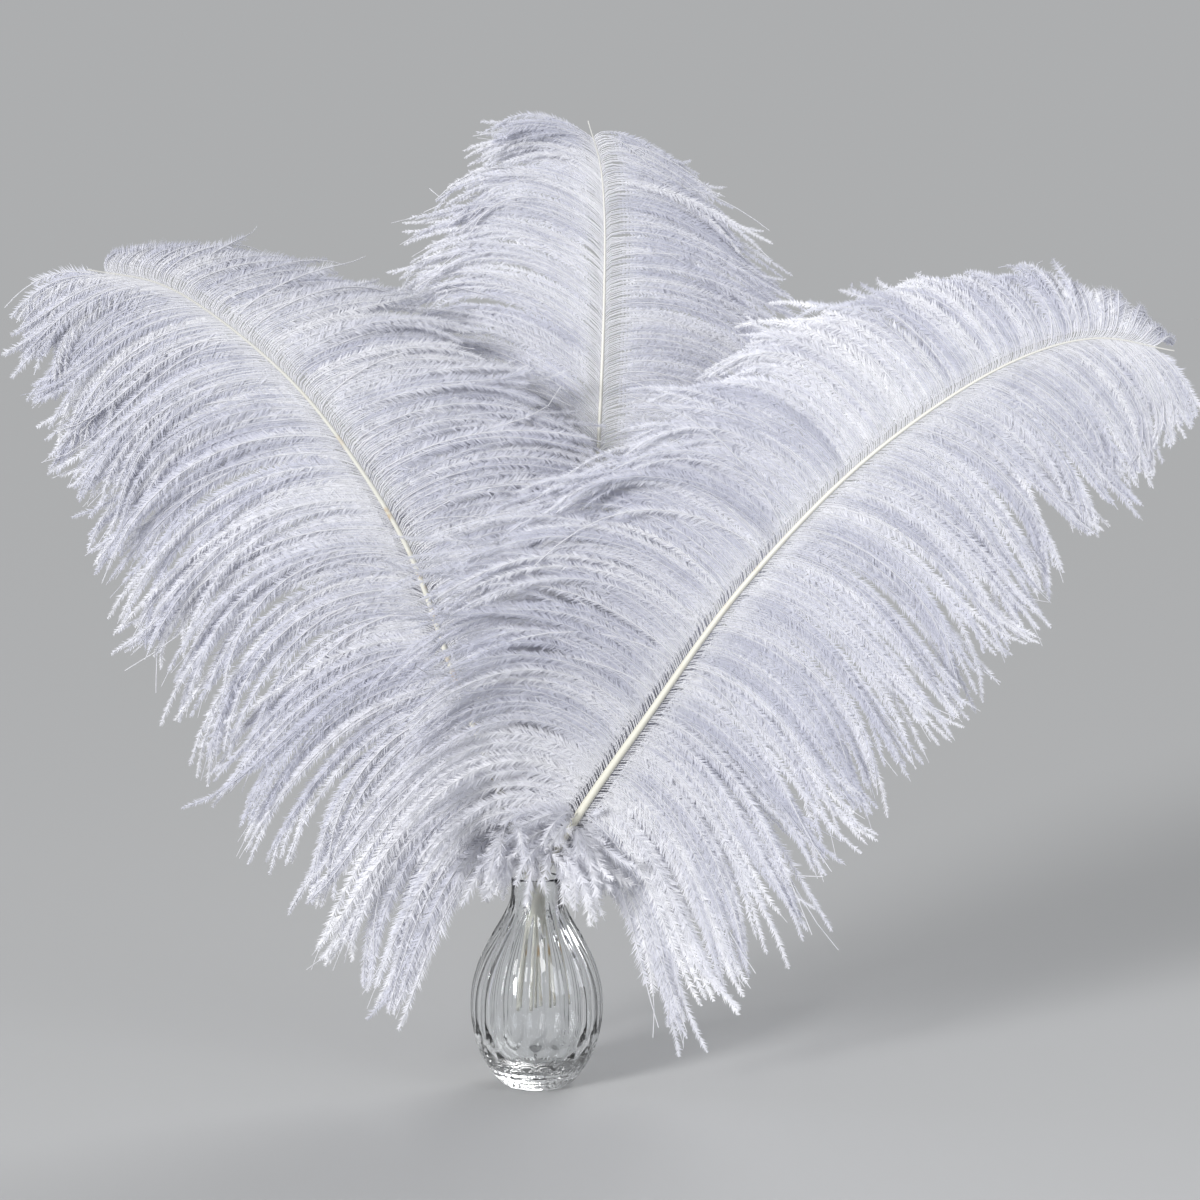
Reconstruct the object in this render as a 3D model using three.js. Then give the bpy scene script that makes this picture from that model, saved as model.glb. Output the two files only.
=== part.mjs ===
// Three white ostrich plumes fanned out of a small cut-crystal vase.
// Millimetres, +Z up, +X to the right of someone facing the vase, who looks along +Y.
// The origin is the centre of the vase's foot, on the surface that it stands on.

import * as THREE from 'three';

// ---- vase -------------------------------------------------------------------------------

const vase = {
  height: 143,
  footRadius: 21, // flat underside
  floorZ: 14, // thick glass bottom
  floorRadius: 17,
  lipRadius: 17.4,
  mouthRadius: 14.2,
  flutes: 18, // upright hollows cut round the body
  fluteDepth: 1.4,
  fluteFade: 22, // the cuts run out over this height at their two ends
  fluteZ: [6, 122],
};

// Half-widths of the glass, as [radius, height], from the foot to the lip and from the lip
// down the inside.
const outsideProfile = [
  [26.5, 4], [34, 14], [40.5, 27], [44, 42], [45, 55], [43.6, 70],
  [38.5, 87], [30.5, 103], [22.5, 117], [17.8, 128], [16.9, 136],
];
const insideProfile = [
  [13.5, 138], [13.2, 126], [17, 112], [25, 99], [33, 84], [38, 68], [39.2, 54], [37.8, 40], [32.5, 26], [25.5, 18],
];

// ---- plumes -----------------------------------------------------------------------------

// The eye that each feather turns its good side to looks along +Y, so this faces it.
const towardViewer = new THREE.Vector3(0, -1, 0);
const down = new THREE.Vector3(0, 0, -1);

const shaft = {
  sides: 8,
  steps: 30,
  tipRadius: 0.45,
  quillShare: 0.185, // bare lower part, standing in the vase
};

const vane = {
  thickness: 0.9,
  gap: 1.25, // between a shaft and the root of its vanes
  alongSegments: 24,
  acrossSegments: 7,
  curveSteps: 14, // straight bits that a barb's curve is summed from
  bendPower: 1.2, // how late along a barb its droop sets in
  tipBare: 0.02, // share of the shaft that carries no barbs at its very end
};

// Each plume: the points its shaft passes through, from the cut end of the quill up to the
// tip, the quill's radius, and what its barbs do on the left and right of the shaft as
// stations: [share of the feathered length, barb length, angle to the shaft in degrees,
// droop, sweep away from the viewer].
const plumes = {
  right: {
    quillRadius: 3.0,
    points: [
      [-8, -5, 52], [-3, -5.3, 104], [4.6, -5.8, 144], [28, -11, 186], [74, -26, 255], [137, -45, 345],
      [219, -60, 432], [308, -68, 492], [361, -70, 507], [411, -70, 499],
    ],
    leftBarbs: [
      [0, 125, 92, 2.0, -0.5], [0.12, 172, 82, 1.5, -0.3], [0.3, 196, 79, 1.35, 0],
      [0.5, 151, 85, 1.25, 0.15], [0.7, 124, 87, 1.1, 0.45], [0.88, 85, 97, 1.15, 0.9],
      [1, 24, 84, 2.0, 1.0],
    ],
    rightBarbs: [
      [0, 156, 102, 2.4, -0.4], [0.12, 169, 86, 2.2, -0.2], [0.3, 162, 68, 2.1, 0],
      [0.5, 163, 57, 1.9, 0.1], [0.7, 141, 50, 1.8, 0.2], [0.88, 100, 40, 1.8, 0.3],
      [1, 55, 14, 2.0, 0.3],
    ],
  },
  left: {
    quillRadius: 2.9,
    points: [
      [9, 1.4, 54], [3, 1.3, 103], [-5, 1.3, 144], [-24, 3, 199], [-55, 7, 278], [-86, 10, 364],
      [-125, 10, 429], [-162, 8, 476], [-215, 2, 522], [-249, -4, 542], [-294, -12, 551],
    ],
    leftBarbs: [
      [0, 156, 106, 2.9, -0.2], [0.12, 172, 87, 2.3, -0.1], [0.3, 198, 66, 2.0, 0],
      [0.5, 198, 53, 1.8, 0.1], [0.7, 172, 44, 1.7, 0.2], [0.88, 124, 33, 1.7, 0.3],
      [1, 70, -3, 1.5, 0.3],
    ],
    rightBarbs: [
      [0, 110, 92, 1.9, 0.1], [0.12, 150, 84, 1.5, 0.1], [0.3, 168, 82, 1.2, 0.1],
      [0.5, 156, 88, 1.05, 0.15], [0.7, 130, 102, 0.9, 0.35], [0.88, 96, 120, 0.85, 0.65],
      [1, 34, 124, 1.5, 1.1],
    ],
  },
  centre: {
    quillRadius: 2.8,
    points: [
      [-1, 8, 51], [3, 8, 101], [4.6, 8, 142], [20, 22, 222], [35, 42, 328], [43, 60, 452],
      [46, 72, 536], [46, 76, 592], [43, 76, 624], [35, 70, 652],
    ],
    leftBarbs: [
      [0, 124, 95, 2.7, 0.4], [0.12, 165, 76, 1.6, 0.2], [0.3, 190, 64, 1.3, 0],
      [0.5, 180, 54, 1.1, 0.1], [0.7, 162, 50, 1.15, 0.05], [0.88, 116, 50, 1.1, 0.05],
      [1, 70, 40, 1.1, 0.1],
    ],
    rightBarbs: [
      [0, 146, 100, 3.2, 0.3], [0.12, 165, 82, 1.7, 0.2], [0.3, 172, 78, 1.5, 0.1],
      [0.5, 148, 76, 1.3, 0.2], [0.7, 140, 77, 1.2, 0.2], [0.88, 134, 91, 1.15, 0.25],
      [1, 80, 116, 1.0, 0.4],
    ],
  },
};

// ---- materials --------------------------------------------------------------------------

const glassFinish = () => new THREE.MeshStandardMaterial({ color: 0xe9eff2, roughness: 0.04, metalness: 0 });
const quillFinish = () => new THREE.MeshStandardMaterial({ color: 0xe9e4cf, roughness: 0.42, metalness: 0 });
const featherFinish = () => new THREE.MeshStandardMaterial({ color: 0xeeeef6, roughness: 0.85, metalness: 0 });

function named(name, geometry, material) {
  const mesh = new THREE.Mesh(geometry, material);
  mesh.name = name;
  return mesh;
}

// ---- the vase: one lathe turning, then every second column pushed in as a flute ----------

function fluteDepthAt(z) {
  const fade = vase.fluteFade;
  const [low, high] = vase.fluteZ;
  const rise = THREE.MathUtils.smoothstep(z, low, low + fade);
  const fall = 1 - THREE.MathUtils.smoothstep(z, high - fade, high);
  return vase.fluteDepth * rise * fall;
}

function vaseGeometry() {
  const outside = [[vase.footRadius, 0], ...outsideProfile, [vase.lipRadius, vase.height]];
  const inside = [[vase.mouthRadius, vase.height], ...insideProfile, [vase.floorRadius, vase.floorZ]];
  const profile = [[0, 0], ...outside, ...inside, [0, vase.floorZ]];
  const columns = vase.flutes * 2;
  const geometry = new THREE.LatheGeometry(profile.map(([r, z]) => new THREE.Vector2(r, z)), columns);
  const places = geometry.attributes.position;
  for (let column = 1; column < columns; column += 2) {
    outside.forEach(([radius, z], row) => {
      const index = column * profile.length + row + 1; // the first row is the axis
      const share = (radius - fluteDepthAt(z)) / radius;
      places.setX(index, places.getX(index) * share);
      places.setZ(index, places.getZ(index) * share);
    });
  }
  return geometry.rotateX(Math.PI / 2); // a lathe turns about Y
}

// ---- shafts -----------------------------------------------------------------------------

function curveOf(plume) {
  return new THREE.CatmullRomCurve3(plume.points.map((point) => new THREE.Vector3(...point)));
}

// Where a plume's shaft is at a share of its length, with its direction, the direction of
// its right side and the way its face looks.
function shaftFrame(curve, share) {
  const along = curve.getTangentAt(share);
  const side = new THREE.Vector3().crossVectors(along, towardViewer).normalize();
  const face = new THREE.Vector3().crossVectors(side, along);
  return { place: curve.getPointAt(share), along, side, face };
}

function shaftRadius(plume, share) {
  const taper = Math.max(0, share - shaft.quillShare) / (1 - shaft.quillShare);
  return THREE.MathUtils.lerp(plume.quillRadius, shaft.tipRadius, taper);
}

// A cylinder bent along the curve, tapering from the quill to the tip.
function shaftGeometry(plume, curve) {
  const geometry = new THREE.CylinderGeometry(1, 1, 1, shaft.sides, shaft.steps);
  const places = geometry.attributes.position;
  const place = new THREE.Vector3();
  for (let index = 0; index < places.count; index++) {
    place.fromBufferAttribute(places, index);
    const share = THREE.MathUtils.clamp(place.y + 0.5, 0, 1);
    const frame = shaftFrame(curve, share);
    const radius = shaftRadius(plume, share);
    frame.place.addScaledVector(frame.side, place.x * radius);
    frame.place.addScaledVector(frame.face, place.z * radius);
    places.setXYZ(index, ...frame.place);
  }
  return geometry;
}

// ---- vanes ------------------------------------------------------------------------------

// Smooth values between stations: a cubic through each pair, with slopes from the
// neighbours on both sides.
function stationSlope(stations, index, column) {
  const before = stations[Math.max(index - 1, 0)];
  const after = stations[Math.min(index + 1, stations.length - 1)];
  return (after[column] - before[column]) / (after[0] - before[0]);
}

function stationValue(stations, share, column) {
  let index = 0;
  while (index < stations.length - 2 && share > stations[index + 1][0]) index++;
  const span = stations[index + 1][0] - stations[index][0];
  const t = (share - stations[index][0]) / span;
  const t2 = t * t;
  const t3 = t2 * t;
  return (2 * t3 - 3 * t2 + 1) * stations[index][column]
    + (t3 - 2 * t2 + t) * span * stationSlope(stations, index, column)
    + (3 * t2 - 2 * t3) * stations[index + 1][column]
    + (t3 - t2) * span * stationSlope(stations, index + 1, column);
}

// The curve of one barb, as points from its root to its tip. It leaves the shaft at its own
// angle and bends under its weight more and more towards the tip.
function barbPoints(plume, curve, stations, sign, share) {
  const onShaft = THREE.MathUtils.lerp(shaft.quillShare, 1 - vane.tipBare, share);
  const frame = shaftFrame(curve, onShaft);
  const [length, degrees, droop, sweep] = [1, 2, 3, 4].map((column) => stationValue(stations, share, column));
  const angle = THREE.MathUtils.degToRad(degrees);
  const start = frame.along.clone().multiplyScalar(Math.cos(angle)).addScaledVector(frame.side, sign * Math.sin(angle));
  const place = frame.place.clone();
  place.addScaledVector(frame.side, sign * (shaftRadius(plume, onShaft) + vane.gap));
  const points = [place.clone()];
  for (let step = 0; step < vane.curveSteps; step++) {
    const t = (step + 0.5) / vane.curveSteps;
    const way = start.clone().addScaledVector(down, droop * t ** vane.bendPower);
    way.addScaledVector(frame.face, -sweep * t).normalize();
    points.push(place.addScaledVector(way, length / vane.curveSteps).clone());
  }
  return points;
}

// A thin slab whose grid follows the barbs from root to tip and from the quill to the top.
function vaneGeometry(plume, curve, stations, sign) {
  const { alongSegments, acrossSegments, curveSteps, thickness } = vane;
  const barbs = [];
  for (let row = 0; row <= alongSegments; row++) {
    barbs.push(barbPoints(plume, curve, stations, sign, row / alongSegments));
  }
  const pointAt = (row, column) => barbs[row][Math.round((column / acrossSegments) * curveSteps)];
  const normalAt = (row, column) => {
    const alongEdge = pointAt(Math.min(row + 1, alongSegments), column).clone()
      .sub(pointAt(Math.max(row - 1, 0), column));
    const acrossEdge = pointAt(row, Math.min(column + 1, acrossSegments)).clone()
      .sub(pointAt(row, Math.max(column - 1, 0)));
    return acrossEdge.cross(alongEdge).normalize();
  };
  const geometry = new THREE.BoxGeometry(1, 1, 1, acrossSegments, alongSegments, 1);
  const places = geometry.attributes.position;
  for (let index = 0; index < places.count; index++) {
    const column = Math.round((places.getX(index) + 0.5) * acrossSegments);
    const row = Math.round((places.getY(index) + 0.5) * alongSegments);
    const place = pointAt(row, column).clone();
    place.addScaledVector(normalAt(row, column), places.getZ(index) * thickness);
    places.setXYZ(index, ...place);
  }
  return geometry;
}

// ---- the bouquet ------------------------------------------------------------------------

const bouquet = new THREE.Group();
bouquet.add(named('vase', vaseGeometry(), glassFinish()));
for (const [name, plume] of Object.entries(plumes)) {
  const curve = curveOf(plume);
  const feather = new THREE.Group();
  feather.add(named(`${name}_plume_shaft`, shaftGeometry(plume, curve), quillFinish()));
  feather.add(named(`${name}_plume_left_vane`, vaneGeometry(plume, curve, plume.leftBarbs, -1), featherFinish()));
  feather.add(named(`${name}_plume_right_vane`, vaneGeometry(plume, curve, plume.rightBarbs, 1), featherFinish()));
  bouquet.add(feather);
}

export default bouquet;
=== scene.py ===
import math
import bpy
import numpy as np
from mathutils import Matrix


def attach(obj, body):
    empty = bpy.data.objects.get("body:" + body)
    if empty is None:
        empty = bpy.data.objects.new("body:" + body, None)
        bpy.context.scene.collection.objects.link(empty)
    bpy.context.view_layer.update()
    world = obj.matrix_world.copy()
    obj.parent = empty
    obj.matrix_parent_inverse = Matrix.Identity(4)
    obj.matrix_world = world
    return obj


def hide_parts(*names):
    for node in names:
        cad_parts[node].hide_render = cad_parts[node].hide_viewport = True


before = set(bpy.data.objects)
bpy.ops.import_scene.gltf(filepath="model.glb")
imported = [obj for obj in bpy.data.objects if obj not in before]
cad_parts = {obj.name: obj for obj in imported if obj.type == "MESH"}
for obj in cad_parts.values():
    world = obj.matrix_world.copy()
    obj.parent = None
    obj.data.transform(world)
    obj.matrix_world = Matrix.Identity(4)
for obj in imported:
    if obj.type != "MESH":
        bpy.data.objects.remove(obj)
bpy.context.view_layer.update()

mm = 0.001
dice = np.random.default_rng(27)  # every random draw comes from here

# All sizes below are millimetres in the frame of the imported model: +Z up, the origin under
# the vase, +X to the viewer's right. They are turned into metres when a mesh is made.


def normalised(v):
    return v / np.maximum(np.linalg.norm(v, axis=-1, keepdims=True), 1e-9)


def smoothstep(x, low, high):
    t = np.clip((x - low) / (high - low), 0, 1)
    return t * t * (3 - 2 * t)


def meshPiece(name, points, faces, uv=None, layers=None):
    # points in mm, faces as one array of triangles or quads, uv and layers per point
    faces = np.asarray(faces, np.int32)
    mesh = bpy.data.meshes.new(name)
    mesh.vertices.add(len(points))
    mesh.vertices.foreach_set("co", (np.asarray(points) * mm).astype(np.float32).ravel())
    mesh.loops.add(faces.size)
    mesh.loops.foreach_set("vertex_index", faces.ravel())
    mesh.polygons.add(len(faces))
    mesh.polygons.foreach_set("loop_start", np.arange(0, faces.size, faces.shape[1], dtype=np.int32))
    mesh.polygons.foreach_set("use_smooth", np.ones(len(faces), bool))
    mesh.update(calc_edges=True)
    for layer, values in (layers or {}).items():
        attribute = mesh.attributes.new(layer, "FLOAT", "POINT")
        attribute.data.foreach_set("value", np.asarray(values, np.float32))
    if uv is not None:
        corners = np.asarray(uv, np.float32)[faces.ravel()]
        mesh.uv_layers.new(name="OFBake").uv.foreach_set("vector", corners.ravel())
    mesh.validate()
    piece = bpy.data.objects.new(name, mesh)
    bpy.context.collection.objects.link(piece)
    return piece


def tubeFaces(rings, around):
    # triangles between rings of points, closed at both ends by the two points that follow them
    row = np.arange(rings - 1)[:, None] * around
    here, after = np.arange(around), np.roll(np.arange(around), -1)
    lower = np.broadcast_arrays(row + here, row + after, row + around + after)
    upper = np.broadcast_arrays(row + here, row + around + after, row + around + here)
    last = (rings - 1) * around
    start = np.stack([after, here, np.full(around, rings * around)], -1)
    end = np.stack([last + here, last + after, np.full(around, rings * around + 1)], -1)
    walls = [np.stack(wall, -1).reshape(-1, 3) for wall in (lower, upper)]
    return np.vstack([*walls, start, end])


camera = {
    "place": (43, -2000, 540),
    "aim": (43, 0, 331),
    "lens": 90,  # on a 36 mm wide sensor
    "sensor": 36,
    "farthest": 50,  # metres
}


def makeCamera():
    data = bpy.data.cameras.new("camera")
    data.lens = camera["lens"]
    data.sensor_width = camera["sensor"]
    data.clip_end = camera["farthest"]
    thing = bpy.data.objects.new("camera", data)
    bpy.context.collection.objects.link(thing)
    place, aim = np.array(camera["place"]), np.array(camera["aim"])
    pitch = math.atan2(aim[2] - place[2], aim[1] - place[1])
    thing.location = place * mm
    thing.rotation_euler = (math.pi / 2 + pitch, 0, 0)
    bpy.context.scene.camera = thing


makeCamera()
print("camera set")


# shader maths is written as plain expressions on sockets
class Value:
    def __init__(self, make, socket):
        self.make = make
        self.socket = socket

    def maths(self, operation, *others):
        inputs = {index: other for index, other in enumerate((self, *others))}
        return self.make.node("ShaderNodeMath", {"operation": operation}, inputs)

    def __add__(self, other):
        return self.maths("ADD", other)

    def __sub__(self, other):
        return self.maths("SUBTRACT", other)

    def __mul__(self, other):
        return self.maths("MULTIPLY", other)


class Finish:
    # one material, with its shader ready; node() adds any other node
    def __init__(self, name):
        self.material = bpy.data.materials.new(name)
        self.material.use_nodes = True
        self.tree = self.material.node_tree
        self.shader = self.tree.nodes["Principled BSDF"]

    def node(self, kind, settings=None, inputs=None, output=0):
        made = self.tree.nodes.new(kind)
        for key, value in (settings or {}).items():
            if key == "stops":
                self.setStops(made.color_ramp, value)
            else:
                setattr(made, key, value)
        for key, value in (inputs or {}).items():
            self.put(made.inputs[key], value)
        return Value(self, made.outputs[output])

    def setStops(self, ramp, stops):
        while len(ramp.elements) < len(stops):
            ramp.elements.new(0.5)
        for element, (position, colour) in zip(ramp.elements, stops):
            element.position = position
            element.color = (*colour, 1)

    def put(self, socket, value):
        if isinstance(value, Value):
            self.tree.links.new(value.socket, socket)
        else:
            socket.default_value = value

    def shade(self, **inputs):
        for key, value in inputs.items():
            self.put(self.shader.inputs[key.replace("_", " ")], value)

    def layer(self, name):
        settings = {"attribute_type": "GEOMETRY", "attribute_name": name}
        return self.node("ShaderNodeAttribute", settings, output="Fac")

    def noise(self, vector, scale, detail=2.0):
        return self.node("ShaderNodeTexNoise", {}, {"Vector": vector, "Scale": scale, "Detail": detail})

    def place(self):
        return self.node("ShaderNodeTexCoord", output="Object")

    def blend(self, share, first, second):
        settings = {"data_type": "RGBA"}
        return self.node("ShaderNodeMix", settings, {"Factor": share, 6: first, 7: second}, output=2)


barbFinish = {
    "bright": (0.945, 0.945, 0.97, 1),  # cool white stems
    "shade": (0.59, 0.60, 0.69, 1),  # painted shade: a lavender grey that stands for the shade on the fluff behind the stems
    "root": (0.87, 0.87, 0.89, 1),  # a little warmer beside the shaft
    "rootShare": 0.7,
    "rootReach": 0.12,  # share of a barb over which that fades
    "through": (0.92, 0.922, 0.96, 1),  # light that comes through from behind
    "throughShare": 0.35,
    "roughness": 0.75,
    "specular": 0.25,
    "cloudScale": 55,  # per metre, patches across several locks
    "cloudStrength": 0.5,
}


def makeBarbFinish():
    finish = Finish("barbs")
    tone = finish.layer("tone")
    share = finish.layer("share")
    cloud = finish.noise(finish.place(), barbFinish["cloudScale"])
    strength = barbFinish["cloudStrength"]
    drift = cloud * strength - strength / 2
    bright = finish.node("ShaderNodeMath", {"operation": "ADD", "use_clamp": True}, {0: tone, 1: drift})
    # tone blends the barbs from the painted shade colour up to the bright one
    colour = finish.blend(bright, barbFinish["shade"], barbFinish["bright"])
    fade = {"From Max": barbFinish["rootReach"], "To Min": barbFinish["rootShare"], "To Max": 0}
    nearRoot = finish.node("ShaderNodeMapRange", {}, {"Value": share, **fade})
    colour = finish.blend(nearRoot, colour, barbFinish["root"])
    finish.shade(Base_Color=colour, Roughness=barbFinish["roughness"])
    finish.shade(Specular_IOR_Level=barbFinish["specular"])
    through = finish.node("ShaderNodeBsdfTranslucent", {}, {"Color": barbFinish["through"]})
    front = Value(finish, finish.shader.outputs["BSDF"])
    both = finish.node("ShaderNodeMixShader", {}, {"Fac": barbFinish["throughShare"], 1: front, 2: through})
    finish.put(finish.tree.nodes["Material Output"].inputs["Surface"], both)
    return finish.material


hornFinish = {
    "ivory": (0.62, 0.615, 0.54),
    "ivoryAt": 0.2,  # share of the shaft
    "pale": (0.66, 0.66, 0.63),
    "paleAt": 0.75,
    "tip": (0.60, 0.60, 0.60),
    "fibre": (0.70, 0.66, 0.52, 1),
    "fibreShare": 0.35,
    "fibreScale": (900, 900, 60),  # per metre, drawn out upwards
    "stain": (0.46, 0.33, 0.19, 1),
    "spotScale": 95,  # per metre
    "spotWindow": (0.56, 0.68),  # the noise between these is a spot's soft edge
    "spotsFrom": 0.75,  # share of the shaft above which there are none
    "spotsFull": 0.5,  # and below which they are as strong as they get
    "detail": 3.0,
    "roughness": 0.38,
    "roughnessSpread": 0.15,
    "bump": 0.25,
    "bumpHeight": 0.0002,  # metres
}


def makeHornFinish(name, stained):
    # stained is how much of the brown spotting this shaft carries, from 0 to 1
    finish = Finish(name)
    along = finish.layer("along")
    stops = [
        (0, hornFinish["pale"]),
        (hornFinish["ivoryAt"], hornFinish["ivory"]),
        (hornFinish["paleAt"], hornFinish["pale"]),
        (1, hornFinish["tip"]),
    ]
    colour = finish.node("ShaderNodeValToRGB", {"stops": stops}, {"Fac": along})
    drawnOut = {"Vector": finish.place(), "Scale": hornFinish["fibreScale"]}
    stretch = finish.node("ShaderNodeMapping", {}, drawnOut)
    fibre = finish.noise(stretch, 1.0, hornFinish["detail"])
    colour = finish.blend(fibre * hornFinish["fibreShare"], colour, hornFinish["fibre"])
    spots = finish.noise(finish.place(), hornFinish["spotScale"], hornFinish["detail"])
    low, high = hornFinish["spotWindow"]
    window = finish.node("ShaderNodeMapRange", {}, {"Value": spots, "From Min": low, "From Max": high})
    reach = {"From Min": hornFinish["spotsFrom"], "From Max": hornFinish["spotsFull"]}
    lowDown = finish.node("ShaderNodeMapRange", {}, {"Value": along, **reach})
    colour = finish.blend(window * lowDown * stained, colour, hornFinish["stain"])
    relief = {"Height": fibre, "Strength": hornFinish["bump"], "Distance": hornFinish["bumpHeight"]}
    bump = finish.node("ShaderNodeBump", {}, relief, output="Normal")
    rough = fibre * hornFinish["roughnessSpread"] + hornFinish["roughness"]
    finish.shade(Base_Color=colour, Roughness=rough, Normal=bump)
    return finish.material


crystalFinish = {"tint": (0.985, 0.995, 1.0, 1), "ior": 1.54, "roughness": 0.0}


def makeCrystalFinish():
    finish = Finish("crystal")
    finish.shade(Base_Color=crystalFinish["tint"], Roughness=crystalFinish["roughness"])
    finish.shade(IOR=crystalFinish["ior"], Transmission_Weight=1)
    return finish.material


# the vase has cut flutes, and near its foot rows of lens cuts and a fine ring
vase = {
    "height": 143,
    "footRadius": 21,
    "floorZ": 14,
    "floorRadius": 17,
    "lipRadius": 17.4,
    "mouthRadius": 14.2,
    "lipRound": 1.4,
    "lipSteps": 9,
    "flutes": 18,
    "columnsPerFlute": 12,
    "fluteDepth": 1.9,
    "fluteZ": (33, 125),  # lowest and highest point of a flute
    "fluteEnds": (13, 30),  # over which it rounds off at the bottom and runs out at the top
    # rows of lens cuts: height, half height, half width in flutes, depth, cuts to a flute, turned by
    "lensRows": (
        (25.5, 8.2, 0.46, 1.9, 1, 0.5),
        (14.6, 3.4, 0.26, 0.75, 2, 0.0),
        (6.0, 3.8, 0.25, 0.7, 2, 0.25),
    ),
    "grooveZ": 10.4,  # a fine ring cut between the two lowest rows
    "grooveHalf": 1.0,
    "grooveDepth": 0.6,
    "fineRing": 1.0,  # between rings of points low down, where the small cuts are
    "coarseRing": 2.4,  # and higher up
    "fineAbove": 8,  # the fine ones go on this far past the foot of the flutes
    "outsideSpan": 30,  # points to a span of each profile
    "insideSpan": 3,
    "sharpAngle": 24,  # degrees between faces that keep an edge
}
outsideProfile = [
    (26.5, 4), (34, 14), (40.5, 27), (44, 42), (45, 55), (43.6, 70),
    (38.5, 87), (30.5, 103), (22.5, 117), (17.8, 128), (16.9, 136),
]
insideProfile = [
    (13.5, 138), (13.2, 126), (17, 112), (25, 99), (33, 84), (38, 68), (39.2, 54), (37.8, 40),
    (32.5, 26), (25.5, 18),
]


def splinePoints(points, perSpan):
    # centripetal Catmull-Rom through the points, as the model's own curves run
    points = np.asarray(points, float)
    padded = np.vstack([2 * points[0] - points[1], points, 2 * points[-1] - points[-2]])
    found = []
    for index in range(len(points) - 1):
        p0, p1, p2, p3 = padded[index:index + 4]
        d0, d1, d2 = (math.sqrt(np.linalg.norm(b - a)) for a, b in ((p0, p1), (p1, p2), (p2, p3)))
        m1 = ((p1 - p0) / d0 - (p2 - p0) / (d0 + d1) + (p2 - p1) / d1) * d1
        m2 = ((p2 - p1) / d1 - (p3 - p1) / (d1 + d2) + (p3 - p2) / d2) * d1
        t = np.linspace(0, 1, perSpan, endpoint=False)[:, None]
        found.append(p1 + m1 * t + (3 * (p2 - p1) - 2 * m1 - m2) * t**2 + (2 * (p1 - p2) + m1 + m2) * t**3)
    return np.vstack([*found, points[-1:]])


def cutDepth(turn, z):
    # how deep the cutter went at this angle and height
    flute = turn / (2 * math.pi) * vase["flutes"]
    low, high = vase["fluteZ"]
    endLow, endHigh = vase["fluteEnds"]
    across = 2 * (flute % 1) - 1
    along = np.maximum((low + endLow - z) / endLow, (z - high + endHigh) / endHigh).clip(0)
    depth = vase["fluteDepth"] * np.maximum(1 - across**2 - along**2, 0)
    for height, halfHigh, halfWide, deep, perFlute, turnedBy in vase["lensRows"]:
        sideways = ((flute * perFlute + turnedBy) % 1 - 0.5) / (halfWide * perFlute)
        lens = 1 - sideways**2 - ((z - height) / halfHigh) ** 2
        depth = np.maximum(depth, deep * np.maximum(lens, 0))
    groove = 1 - ((z - vase["grooveZ"]) / vase["grooveHalf"]) ** 2
    return np.maximum(depth, vase["grooveDepth"] * np.maximum(groove, 0))


def evenRings(profile):
    reach = np.concatenate([[0], np.cumsum(np.linalg.norm(np.diff(profile, axis=0), axis=1))])
    fine = np.interp(vase["fluteZ"][0] + vase["fineAbove"], profile[:, 1], reach)
    low = np.arange(0, fine, vase["fineRing"])
    high = np.arange(fine, reach[-1], vase["coarseRing"])
    at = np.concatenate([low, high, reach[-1:]])
    return np.stack([np.interp(at, reach, profile[:, k]) for k in range(2)], 1)


def makeVase():
    outside = evenRings(splinePoints([(vase["footRadius"], 0), *outsideProfile], vase["outsideSpan"]))
    inside = splinePoints([*insideProfile, (vase["floorRadius"], vase["floorZ"])], vase["insideSpan"])
    lipMiddle = (vase["lipRadius"] + vase["mouthRadius"]) / 2
    lipHalf = (vase["lipRadius"] - vase["mouthRadius"]) / 2
    turns = np.linspace(0, math.pi, vase["lipSteps"])
    lipZ = vase["height"] - vase["lipRound"] + vase["lipRound"] * np.sin(turns)
    lip = np.stack([lipMiddle + lipHalf * np.cos(turns), lipZ], 1)
    rings = np.vstack([outside, lip, inside])
    columns = vase["flutes"] * vase["columnsPerFlute"]
    turn = np.linspace(0, 2 * math.pi, columns, endpoint=False)
    radius = np.repeat(rings[:, :1], columns, 1)
    radius[:len(outside)] -= cutDepth(turn[None], outside[:, 1:])
    wall = np.stack([radius * np.cos(turn), radius * np.sin(turn), np.repeat(rings[:, 1:], columns, 1)], -1)
    points = np.vstack([wall.reshape(-1, 3), [(0, 0, 0), (0, 0, vase["floorZ"])]])
    piece = meshPiece("cut_vase", points, tubeFaces(len(rings), columns))
    piece.data.set_sharp_from_angle(angle=math.radians(vase["sharpAngle"]))
    piece.data.materials.append(makeCrystalFinish())
    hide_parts("vase")
    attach(piece, "root")


makeVase()
print("vase cut")


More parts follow.
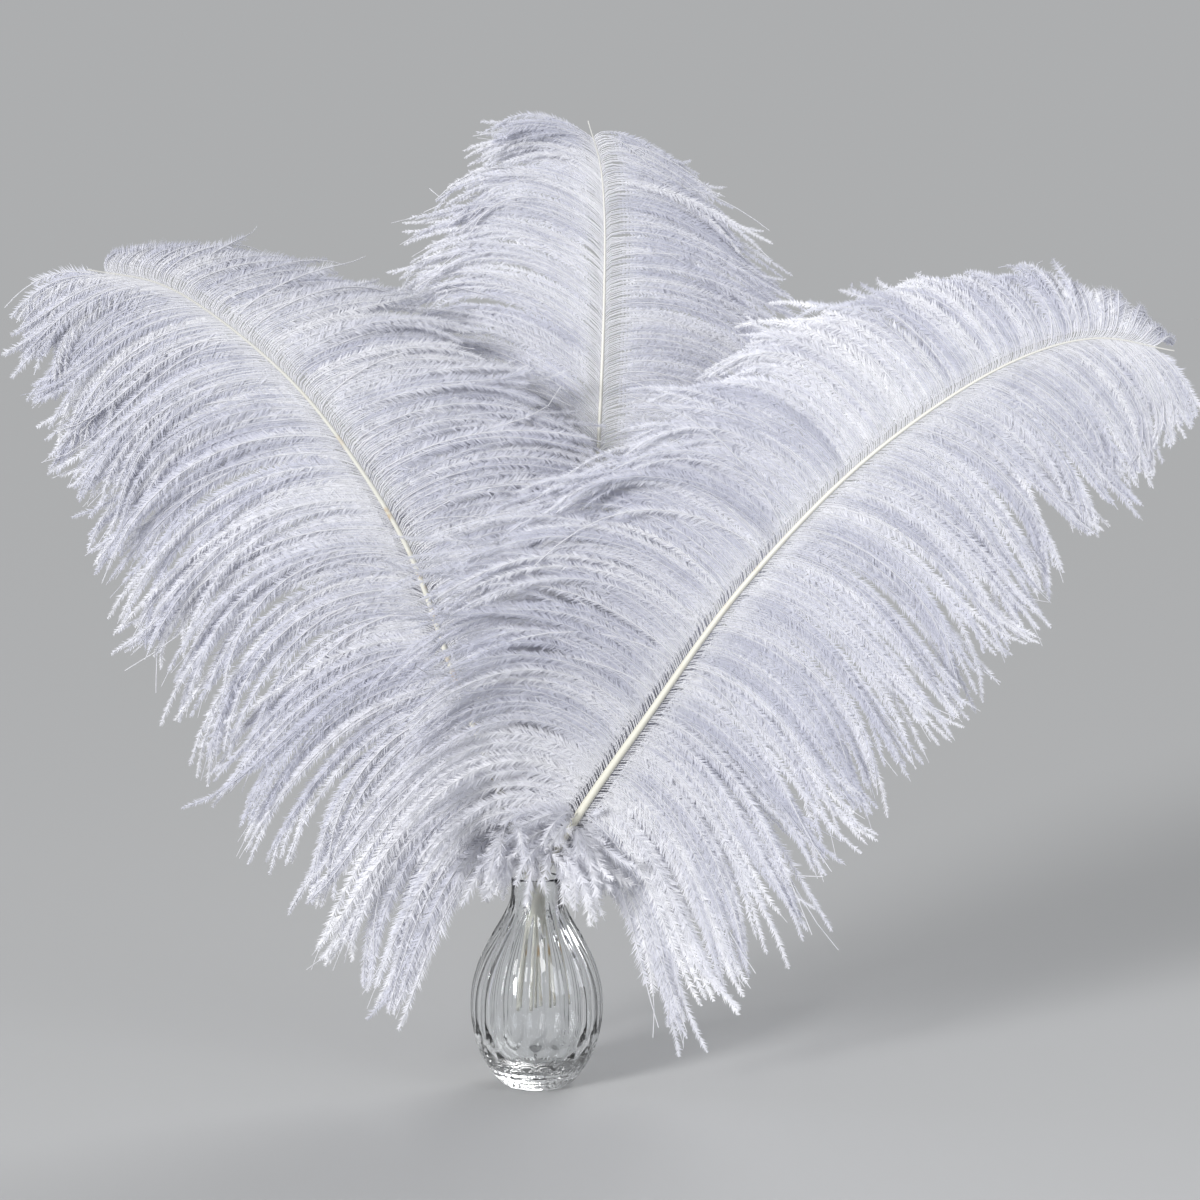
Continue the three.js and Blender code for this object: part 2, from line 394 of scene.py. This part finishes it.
# Points of each shaft from the quill's end to the tip; barbs as stations: share of the
# feathered length, barb length, angle to the shaft, droop, sweep away from the viewer.
plumes = {
    "right": {
        "quillRadius": 3.0,
        "bare": (2.5, 12),  # mm from the shaft over which barbules grow to full length
        "fluff": 0.98,  # how long its barbules are, against the usual
        "stained": 0.15,  # how much of the brown spotting its shaft carries
        "points": [
            (-8, -5, 52), (-3, -5.3, 104), (4.6, -5.8, 144), (28, -11, 186), (74, -26, 255),
            (137, -45, 345), (219, -60, 432), (308, -68, 492), (361, -70, 507), (411, -70, 499),
        ],
        "left": [
            (0, 125, 92, 2.0, -0.5), (0.12, 172, 82, 1.5, -0.3),
            (0.3, 196, 79, 1.35, 0), (0.5, 151, 85, 1.25, 0.15),
            (0.7, 124, 87, 1.1, 0.45), (0.88, 85, 97, 1.15, 0.9), (1, 24, 84, 2.0, 1.0),
        ],
        "right": [
            (0, 156, 102, 2.4, -0.4), (0.12, 169, 86, 2.2, -0.2),
            (0.3, 162, 68, 2.1, 0), (0.5, 163, 57, 1.9, 0.1),
            (0.7, 141, 50, 1.8, 0.2), (0.88, 100, 40, 1.8, 0.3), (1, 55, 14, 2.0, 0.3),
        ],
    },
    "left": {
        "quillRadius": 2.9,
        "bare": (4, 18),
        "fluff": 1.12,
        "stained": 1.0,
        "points": [
            (9, 1.4, 54), (3, 1.3, 103), (-5, 1.3, 144), (-24, 3, 199), (-55, 7, 278), (-86, 10, 364),
            (-125, 10, 429), (-162, 8, 476), (-215, 2, 522), (-249, -4, 542), (-294, -12, 551),
        ],
        "left": [
            (0, 156, 106, 2.9, -0.2), (0.12, 172, 87, 2.3, -0.1),
            (0.3, 198, 66, 2.0, 0), (0.5, 198, 53, 1.8, 0.1),
            (0.7, 172, 44, 1.7, 0.2), (0.88, 124, 33, 1.7, 0.3), (1, 70, -3, 1.5, 0.3),
        ],
        "right": [
            (0, 110, 92, 1.9, 0.1), (0.12, 150, 84, 1.5, 0.1),
            (0.3, 168, 82, 1.2, 0.1), (0.5, 156, 88, 1.05, 0.15),
            (0.7, 130, 102, 0.9, 0.35), (0.88, 96, 120, 0.85, 0.65), (1, 34, 124, 1.5, 1.1),
        ],
    },
    "centre": {
        "quillRadius": 2.8,
        "bare": (7, 28),
        "fluff": 0.76,
        "stained": 0.15,
        "points": [
            (-1, 8, 51), (3, 8, 101), (4.6, 8, 142), (20, 22, 222), (35, 42, 328), (43, 60, 452),
            (46, 72, 536), (46, 76, 592), (43, 76, 624), (35, 70, 652),
        ],
        "left": [
            (0, 124, 95, 2.7, 0.4), (0.12, 165, 76, 1.6, 0.2),
            (0.3, 190, 64, 1.3, 0), (0.5, 180, 54, 1.1, 0.1),
            (0.7, 162, 50, 1.15, 0.05), (0.88, 116, 50, 1.1, 0.05), (1, 70, 40, 1.1, 0.1),
        ],
        "right": [
            (0, 146, 100, 3.2, 0.3), (0.12, 165, 82, 1.7, 0.2),
            (0.3, 172, 78, 1.5, 0.1), (0.5, 148, 76, 1.3, 0.2),
            (0.7, 140, 77, 1.2, 0.2), (0.88, 134, 91, 1.15, 0.25), (1, 80, 116, 1.0, 0.4),
        ],
    },
}
towardViewer = np.array([0.0, -1.0, 0.0])
down = np.array([0.0, 0.0, -1.0])
quillShare = 0.185  # bare lower part of a shaft, standing in the vase
shaft = {
    "lineSpan": 60,  # steps between two of its points
    "near": 0.004,  # how far on and back its direction is read, as a share of it
    "tipRadius": 0.42,
    "taperPower": 0.85,
    "rings": 150,
    "sides": 14,
    "groove": 0.16,  # depth of the groove down the good side, as a share of the radius
    "grooveTurn": 0.5,  # how far off the middle it runs, and how wide, in radians
    "grooveWidth": 0.34,
    "grooveStart": (0.14, 0.24),  # shares of the shaft over which it sets in
    "hollow": 0.62,  # bore of the cut quill end, as a share of its radius
    "hollowTaper": 0.9,  # how wide the bore still is at its end
    "hollowDepth": 9,
}


class Shaft:
    # the line of one shaft, read at shares of its length
    def __init__(self, points):
        self.line = splinePoints(points, shaft["lineSpan"])
        steps = np.linalg.norm(np.diff(self.line, axis=0), axis=1)
        self.reach = np.concatenate([[0], np.cumsum(steps)])
        self.length = self.reach[-1]

    def place(self, share):
        at = np.asarray(share) * self.length
        return np.stack([np.interp(at, self.reach, self.line[:, k]) for k in range(3)], -1)

    def axes(self, share):
        near = shaft["near"]
        along = normalised(self.place(np.minimum(share + near, 1)) - self.place(np.maximum(share - near, 0)))
        side = normalised(np.cross(along, towardViewer))
        return along, side, np.cross(side, along)


def shaftRadius(plume, share):
    taper = (np.maximum(0, share - quillShare) / (1 - quillShare)) ** shaft["taperPower"]
    return plume["quillRadius"] + (shaft["tipRadius"] - plume["quillRadius"]) * taper


def makeShaft(name, plume, line, material):
    shares = np.linspace(0, 1, shaft["rings"])
    turn = np.linspace(0, 2 * math.pi, shaft["sides"], endpoint=False)
    radius = shaftRadius(plume, shares)[:, None] * np.ones(len(turn))
    offFront = np.angle(np.exp(1j * (turn - math.pi / 2 - shaft["grooveTurn"])))
    hollowed = np.exp(-((offFront / shaft["grooveWidth"]) ** 2))
    radius *= 1 - shaft["groove"] * hollowed * smoothstep(shares, *shaft["grooveStart"])[:, None]
    along, side, face = line.axes(shares)
    middle = line.place(shares)
    rings = middle[:, None] + radius[..., None] * (
        side[:, None] * np.cos(turn)[None, :, None] + face[:, None] * np.sin(turn)[None, :, None])
    # the quill's cut end turns in to a short hollow
    bore = [(shaft["hollow"], 0.0), (shaft["hollow"] * shaft["hollowTaper"], shaft["hollowDepth"])]
    inner = [middle[0] + along[0] * depth + (rings[0] - middle[0]) * width for width, depth in bore]
    rings = np.concatenate([inner[::-1], rings])
    level = np.concatenate([[0, 0], shares])
    count = len(turn)
    ends = [middle[:1] + along[:1] * shaft["hollowDepth"], middle[-1:] + along[-1:]]
    points = np.vstack([rings.reshape(-1, 3), *ends])
    layers = {"along": np.concatenate([np.repeat(level, count), [0, 1]])}
    roundShaft = np.concatenate([np.tile(np.arange(count) / count, len(rings)), [0.5, 0.5]])
    uv = np.stack([roundShaft, layers["along"]], 1)
    piece = meshPiece(f"{name}_rachis", points, tubeFaces(len(rings), count), uv, layers)
    piece.data.materials.append(material)
    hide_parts(f"{name}_plume_shaft")
    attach(piece, "root")


# each barb is a thin three-sided stem with a fringe of barbules down both sides
barb = {
    "perVane": 336,
    "crowding": 0.3,  # how much closer they stand at the tip than at the foot
    "jitter": 0.3,  # how far off its even place a root may be, in spaces
    "steps": 12,
    "stepPower": 1.35,  # steps are shorter near the root, where a barb bends most
    "bendPower": 1.2,  # how late along a barb its droop sets in
    "curlPower": 4,  # and its curl
    "rootAngle": 28,  # degrees to the shaft where a barb leaves it
    "rootBend": 6.0,  # mm over which it turns out to its own angle
    "rootOut": 0.8,  # where it is rooted, as a share of the shaft's radius
    "stemRadius": (0.44, 0.24),  # at the root and at the tip
    "tipBare": 0.02,
}
lock = {
    "size": (3, 9),  # barbs that cling together
    "curl": 0.38,  # how far tips turn up or down the shaft
    "cling": (0.0, 0.55),  # how far their tips draw together
    "power": 3.0,  # how late along a barb that sets in
    "angle": 0.9,  # the spread from lock to lock
    "length": 0.04,
    "droop": 0.06,
    "sweep": 0.035,
    "roll": 1.6,
}
loose = {
    "angle": 1.3,  # the spread from barb to barb in a lock
    "curl": 0.4,
    "length": 0.07,
    "droop": 0.06,
    "sweep": 0.03,
    "roll": 1.2,
    "strays": 0.09,  # share of barbs that part from their lock, their barbules closed up at the end
    "strayAngle": 9,
    "straySweep": 0.02,
    "strayCurl": 0.5,
    "strayBare": (0.12, 0.42),
    "bold": 0.14,  # share of barbs that lie on top, stouter than the rest
    "boldWidth": 1.5,
    "boldSweep": -0.06,
}
barbule = {
    "spacing": 1.2,
    "fewest": 8,  # to a side of the shortest barb
    "length": (6.6, 5.8, 2.7),
    "lengthAt": (0, 0.62, 1),  # the shares of a barb where it is so long
    "lengthSpread": 0.16,
    "least": 0.1,  # what is left of that length where a barb is bare
    "angle": (48, 42),  # degrees to the stem at its root and tip
    "angleSpread": 5,
    "bareTip": 0.14,  # share of a barb whose end may stand bare
    "bareRarity": 5,  # the higher, the fewer barbs have it
    "bareEdge": (-0.02, 0.03),  # around where that begins, the shares over which they shorten
    "rows": ((-1, -24), (1, -24), (0, -58)),  # which side, and degrees out of the vane; 0 is either side
    "tiltSpread": (9, 8),  # from tuft to tuft, and from one to the next in a tuft
    "tuft": 2,  # neighbours whose tips draw together
    "tuftCling": 0.6,
    "downLength": 1.3,  # longer in the down at a plume's foot
    "downReach": (0.03, 0.2),  # shares of the vane over which the down ends
    "uvReach": 0.45,  # how far to the side its tip lies in the uv, in barbs
}
skirt = {
    "perVane": 40,  # short loose down round the foot of the vane, over the vase's rim
    "share": (-0.035, 0.03),  # where they are rooted, in shares of the vane
    "length": (22, 66),
    "angle": (60, 125),
    "droop": (0.4, 2.4),
    "roll": (-60, 75),  # degrees from the vane's own side round to the viewer
    "sweep": 0.3,
    "curl": 0.5,
    "width": 0.8,  # stems are finer than a barb's
    "bare": (0, 0.12),
}
# Tone runs from 0, the painted shade colour of the finish, to 1, its bright one.
tones = {
    "lock": (0.55, 0.16),  # middle and spread from lock to lock
    "barb": 0.2,
    "down": 0.3,  # painted light: the foot of a plume is painted whiter, against the shade it lies in
    "skirt": (0.9, 0.15),
    "stem": 0.45,  # added on a stem, at the roots of its barbules and at their tips: painted light on the stems, painted shade on the barbules between them
    "barbuleRootPaintedShade": -0.15,
    "barbuleTipPaintedShade": -0.38,
}


def stationValues(stations, share, column):
    # smooth cubic between stations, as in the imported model
    table = np.asarray(stations, float)
    x, y = table[:, 0], table[:, column]
    before, after = np.maximum(np.arange(len(x)) - 1, 0), np.minimum(np.arange(len(x)) + 1, len(x) - 1)
    slope = (y[after] - y[before]) / (x[after] - x[before])
    share = np.clip(share, 0, 1)
    index = np.clip(np.searchsorted(x, share) - 1, 0, len(x) - 2)
    span = x[index + 1] - x[index]
    t = (share - x[index]) / span
    return ((2 * t**3 - 3 * t**2 + 1) * y[index] + (t**3 - 2 * t**2 + t) * span * slope[index]
            + (3 * t**2 - 2 * t**3) * y[index + 1] + (t**3 - t**2) * span * slope[index + 1])


def sweepBarbs(plume, line, sign, shares, stations, change):
    # the points of many barbs at once, (barb, step, xyz), from root to tip
    onShaft = quillShare + (1 - barb["tipBare"] - quillShare) * shares
    along, side, face = line.axes(onShaft)
    roll = np.radians(change["roll"])[:, None]
    out = sign * (side * np.cos(roll) + face * np.sin(roll))
    length = stationValues(stations, shares, 1) * change["length"]
    angle = stationValues(stations, shares, 2) + change["angle"]
    droop = stationValues(stations, shares, 3) * change["droop"]
    sweep = stationValues(stations, shares, 4) + change["sweep"]
    edges = np.linspace(0, 1, barb["steps"] + 1) ** barb["stepPower"]
    place = line.place(onShaft) + out * (shaftRadius(plume, onShaft) * barb["rootOut"])[:, None]
    points = [place]
    for low, high in zip(edges[:-1], edges[1:]):
        t = (low + high) / 2
        turned = np.exp(-length * t / barb["rootBend"])
        now = np.radians(angle + (barb["rootAngle"] - angle) * turned)[:, None]
        way = along * np.cos(now) + out * np.sin(now)
        way = way + (droop * t ** barb["bendPower"])[:, None] * down - (sweep * t)[:, None] * face
        curl = change["curl"] * t ** barb["curlPower"]
        way = normalised(way) + curl[:, None] * along
        place = place + normalised(way) * (length * (high - low))[:, None]
        points.append(place)
    return np.stack(points, 1), edges, length


def draw(spread, count):
    # a bell-shaped draw, never further out than twice its spread
    return np.clip(dice.normal(0, spread, count), -2 * spread, 2 * spread)


def drawChange(count, spread):
    return {
        "angle": draw(spread["angle"], count),
        "length": 1 + draw(spread["length"], count),
        "droop": 1 + draw(spread["droop"], count),
        "sweep": draw(spread["sweep"], count),
        "roll": draw(spread["roll"], count),
        "curl": draw(spread["curl"], count),
    }


def lockNumbers(count):
    # which lock each barb belongs to
    numbers = []
    while len(numbers) < count:
        numbers += [numbers[-1] + 1 if numbers else 0] * int(dice.integers(*lock["size"]))
    return np.array(numbers[:count])


def vaneBarbs(plume, line, sign, stations):
    count = barb["perVane"]
    even = (np.arange(count) + dice.uniform(-barb["jitter"], barb["jitter"], count)) / (count - 1)
    shares = np.sort(even * (1 + barb["crowding"] * (1 - even))).clip(0, 1)
    number = lockNumbers(count)
    locks = number[-1] + 1
    ofLock = drawChange(locks, lock)
    ofBarb = drawChange(count, loose)
    change = {key: ofLock[key][number] + ofBarb[key] for key in ("angle", "sweep", "roll", "curl")}
    change.update({key: ofLock[key][number] * ofBarb[key] for key in ("length", "droop")})
    stray = dice.random(count) < loose["strays"]
    bold = dice.random(count) < loose["bold"]
    change["angle"] = change["angle"] + stray * draw(loose["strayAngle"], count)
    change["sweep"] = change["sweep"] + stray * draw(loose["straySweep"], count) + bold * loose["boldSweep"]
    change["curl"] = change["curl"] + stray * draw(loose["strayCurl"], count)
    bare = dice.random(count) ** barbule["bareRarity"] * barbule["bareTip"]
    bare = np.where(stray, dice.uniform(*loose["strayBare"], count), bare)
    stout = np.where(bold | stray, loose["boldWidth"], 1.0)
    points, edges, length = sweepBarbs(plume, line, sign, shares, stations, change)
    middle = np.array([shares[number == k].mean() for k in range(locks)])
    core, _, _ = sweepBarbs(plume, line, sign, middle, stations, ofLock)
    cling = dice.uniform(*lock["cling"], locks)[number] * ~stray
    pull = cling[:, None] * edges[None] ** lock["power"]
    points = points + pull[..., None] * (core[number] - points)
    downy = 1 - smoothstep(shares, *barbule["downReach"])
    tone = dice.normal(*tones["lock"], locks)[number] + dice.normal(0, tones["barb"], count)
    # painted light: the down at a plume's foot is lifted toward the bright colour
    tone = tone + tones["down"] * downy
    fluff = plume["fluff"] * (1 + (barbule["downLength"] - 1) * downy)
    return points, length, tone, fluff, stout, bare


def skirtBarbs(plume, line, sign, stations):
    count = skirt["perVane"]
    shares = dice.uniform(*skirt["share"], count)
    change = {
        "angle": dice.uniform(*skirt["angle"], count) - stationValues(stations, shares, 2),
        "length": dice.uniform(*skirt["length"], count) / stationValues(stations, shares, 1),
        "droop": dice.uniform(*skirt["droop"], count) / stationValues(stations, shares, 3),
        "sweep": dice.normal(0, skirt["sweep"], count),
        "roll": sign * dice.uniform(*skirt["roll"], count),
        "curl": dice.normal(0, skirt["curl"], count),
    }
    points, _, length = sweepBarbs(plume, line, sign, shares, stations, change)
    tone = dice.normal(*tones["skirt"], count)
    fluff = np.full(count, barbule["downLength"])
    return points, length, tone, fluff, np.full(count, skirt["width"]), dice.uniform(*skirt["bare"], count)


def readAlong(rows, table, at):
    # table (barb, step, xyz) read between steps at (row, position in steps)
    low = np.minimum(at.astype(int), table.shape[1] - 2)
    w = (at - low)[:, None]
    return table[rows, low] * (1 - w) + table[rows, low + 1] * w


def stemParts(points, across, lift, edges, stout):
    # three-sided stems: points, triangles, the barb that each point is on, its share and uv
    count, steps = points.shape[0], points.shape[1] - 1
    wide, thin = barb["stemRadius"]
    radius = (stout[:, None] * (wide + (thin - wide) * edges))[..., None]
    corner = np.arange(3) * 2 * math.pi / 3 + math.pi / 2
    rings = np.stack([points + radius * (across * math.cos(a) + lift * math.sin(a)) for a in corner], 2)
    row = (np.arange(count)[:, None, None] * (steps + 1) + np.arange(steps)[None, :, None]) * 3
    here, after = np.arange(3), np.array([1, 2, 0])
    quads = np.broadcast_arrays(row + here, row + after, row + 3 + after, row + 3 + here)
    quads = np.stack(quads, -1).reshape(-1, 4)
    faces = np.vstack([quads[:, [0, 1, 2]], quads[:, [0, 2, 3]]])
    owner = np.repeat(np.arange(count), (steps + 1) * 3)
    share = np.tile(np.repeat(edges, 3), count)
    uv = np.stack([(owner + np.tile(here / 4 + 0.25, count * (steps + 1))) / count, share], 1)
    return rings.reshape(-1, 3), faces, owner, uv


def barbuleLengths(link, tipShare, length, fluff, bare, grown):
    # they grow to full length near the shaft and are almost gone where a barb's end is bare
    least = barbule["least"]
    grow = least + (1 - least) * smoothstep(tipShare * length[link], *grown)
    under, over = barbule["bareEdge"]
    covered = smoothstep(1 - tipShare, bare[link] + under, bare[link] + over)
    grow = grow * (least + (1 - least) * covered)
    return np.interp(tipShare, barbule["lengthAt"], barbule["length"]) * grow * fluff[link]


def fringedBarbs(name, grown, points, length, tone, fluff, stout, bare):
    # grown: the mm from the shaft over which barbules reach full length; the rest is per barb
    count, steps = points.shape[0], points.shape[1] - 1
    way = normalised(np.gradient(points, axis=1))
    across = normalised(np.cross(way, towardViewer))
    lift = np.cross(across, way)
    edges = np.linspace(0, 1, steps + 1) ** barb["stepPower"]
    stemPoints, stemFaces, stemOwner, stemUv = stemParts(points, across, lift, edges, stout)
    # barbules: a chain of roots down each stem, and a tip to each side of every link
    links = np.maximum((length / barbule["spacing"]).astype(int), barbule["fewest"])
    first = np.concatenate([[0], np.cumsum(links + 1)[:-1]])
    owner = np.repeat(np.arange(count), links + 1)
    share = (np.arange(len(owner)) - first[owner]) / links[owner]
    chain = readAlong(owner, points, share ** (1 / barb["stepPower"]) * steps)
    link = np.repeat(np.arange(count), links)  # the barb that each link is on
    linkStep = np.arange(len(link)) - np.concatenate([[0], np.cumsum(links)[:-1]])[link]
    tuft = linkStep // barbule["tuft"]
    tuftMiddle = (tuft + 0.5) * barbule["tuft"]
    drawn = linkStep + 0.5 + barbule["tuftCling"] * (tuftMiddle - linkStep - 0.5)
    tipShare = np.clip(drawn / links[link], 0, 1)
    tipAt = tipShare ** (1 / barb["stepPower"]) * steps
    root = readAlong(link, points, tipAt)
    here = [normalised(readAlong(link, table, tipAt)) for table in (way, across, lift)]
    wayHere, acrossHere, liftHere = here
    _, tuftNumber = np.unique(link * (tuft.max() + 1) + tuft, return_inverse=True)
    tufts = tuftNumber.max() + 1
    full = barbuleLengths(link, tipShare, length, fluff, bare, grown)
    spread = np.interp(tipShare, (0, 1), barbule["angle"])
    base = len(stemPoints) + first[link] + linkStep
    ofTuft, ofOne = barbule["tiltSpread"]
    tips, faces, tipUv = [], [], []
    for side, lean in barbule["rows"]:
        turn = side if side else dice.choice((-1, 1), tufts)[tuftNumber]
        turn = np.broadcast_to(turn, len(link))
        wobble = dice.normal(0, barbule["angleSpread"], tufts)[tuftNumber]
        opened = np.radians(spread + wobble + dice.normal(0, barbule["angleSpread"], len(link)))
        tilt = np.radians(dice.normal(lean, ofTuft, tufts)[tuftNumber] + dice.normal(0, ofOne, len(link)))
        reach = full * (1 + dice.normal(0, barbule["lengthSpread"], tufts)[tuftNumber])
        sideways = (turn * np.cos(tilt))[:, None] * acrossHere + np.sin(tilt)[:, None] * liftHere
        direction = np.cos(opened)[:, None] * wayHere + np.sin(opened)[:, None] * sideways
        tip = len(stemPoints) + len(chain) + len(tips) * len(link) + np.arange(len(link))
        second, third = np.where(turn < 0, (tip, base + 1), (base + 1, tip))
        faces.append(np.stack([base, second, third], 1))
        tips.append(root + reach[:, None] * direction)
        tipUv.append(np.stack([(link + (0.5 + barbule["uvReach"] * turn)) / count, tipShare], 1))
    uv = np.vstack([stemUv, np.stack([(owner + 0.5) / count, share], 1), *tipUv])
    # stems painted lighter and barbules painted darker: painted light and shade, not a colour of their own
    toneOf = [tone[stemOwner] + tones["stem"], tone[owner] + tones["barbuleRootPaintedShade"]]
    toneOf += [tone[link] + tones["barbuleTipPaintedShade"]] * len(tips)
    layers = {"tone": np.concatenate(toneOf), "share": uv[:, 1]}
    return meshPiece(name, np.vstack([stemPoints, chain, *tips]), np.vstack([stemFaces, *faces]), uv, layers)


def makeVane(name, plume, line, sideName, material):
    sign = -1 if sideName == "left" else 1
    groups = [make(plume, line, sign, plume[sideName]) for make in (vaneBarbs, skirtBarbs)]
    parts = [np.concatenate(part) for part in zip(*groups)]
    piece = fringedBarbs(f"{name}_{sideName}_barbs", plume["bare"], *parts)
    piece.data.materials.append(material)
    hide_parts(f"{name}_plume_{sideName}_vane")
    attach(piece, "root")
    return len(piece.data.polygons)


barbMaterial = makeBarbFinish()
triangles = 0
for plumeName, plume in plumes.items():
    line = Shaft(plume["points"])
    horn = makeHornFinish(f"{plumeName}_horn", plume["stained"])
    makeShaft(plumeName, plume, line, horn)
    for sideName in ("left", "right"):
        triangles += makeVane(plumeName, plume, line, sideName, barbMaterial)
    print(f"{plumeName} plume grown, {triangles} triangles of barbs so far")


studio = {
    "floor": (0.494, 0.497, 0.501, 1),  # as bright as the backdrop where it is far off
    "floorRadius": 60000,  # so far off that it meets the backdrop with no line between
    "floorSides": 64,
    "floorZ": -0.3,  # just under the vase
    "backdrop": (0.97, 0.985, 1.0, 1),
    "backdropStrength": 0.43,
    # name, direction it shines from, strength, width in degrees
    "suns": [
        ("sun", (-0.85, -0.95, 0.34), 2.75, 14),
        ("back_sun", (0.45, 0.85, 0.45), 1.5, 40),
    ],
    # name, place, size, watts, colour
    "boxes": [
        ("left_box", (-900, -1300, 1000), 420, 5, (1.0, 0.995, 0.985)),
        ("right_box", (1300, -1100, 700), 700, 6, (0.93, 0.95, 1.0)),
    ],
    "aim": (0, 0, 330),
}


def makeFloor():
    turn = np.linspace(0, 2 * math.pi, studio["floorSides"], endpoint=False)
    rim = np.stack([np.cos(turn), np.sin(turn), np.zeros(len(turn))], 1) * studio["floorRadius"]
    points = np.vstack([rim, [(0, 0, 0)]]) + (0, 0, studio["floorZ"])
    here, after = np.arange(len(turn)), np.roll(np.arange(len(turn)), -1)
    floor = meshPiece("floor", points, np.stack([here, after, np.full(len(turn), len(turn))], -1))
    finish = Finish("floor")
    finish.shade(Base_Color=studio["floor"], Roughness=1.0)
    finish.shade(Specular_IOR_Level=0)
    floor.data.materials.append(finish.material)


def makeLight(name, kind, out, settings):
    # out points from what is lit to the light
    data = bpy.data.lights.new(name, kind)
    for key, value in settings.items():
        setattr(data, key, value)
    thing = bpy.data.objects.new(name, data)
    bpy.context.collection.objects.link(thing)
    out = normalised(np.array(out, float))
    thing.rotation_euler = (math.acos(out[2]), 0, math.atan2(out[1], out[0]) + math.pi / 2)
    return thing


def makeLights():
    world = bpy.data.worlds.new("studio")
    bpy.context.scene.world = world
    world.use_nodes = True
    sky = world.node_tree.nodes["Background"]
    sky.inputs["Color"].default_value = studio["backdrop"]
    sky.inputs["Strength"].default_value = studio["backdropStrength"]
    for name, out, strength, width in studio["suns"]:
        makeLight(name, "SUN", out, {"energy": strength, "angle": math.radians(width)})
    for name, place, size, watts, colour in studio["boxes"]:
        settings = {"shape": "SQUARE", "size": size * mm, "energy": watts, "color": colour}
        box = makeLight(name, "AREA", np.array(place) - studio["aim"], settings)
        box.location = np.array(place) * mm


makeFloor()
makeLights()
bpy.context.scene.view_settings.view_transform = "Standard"
print("studio lit")
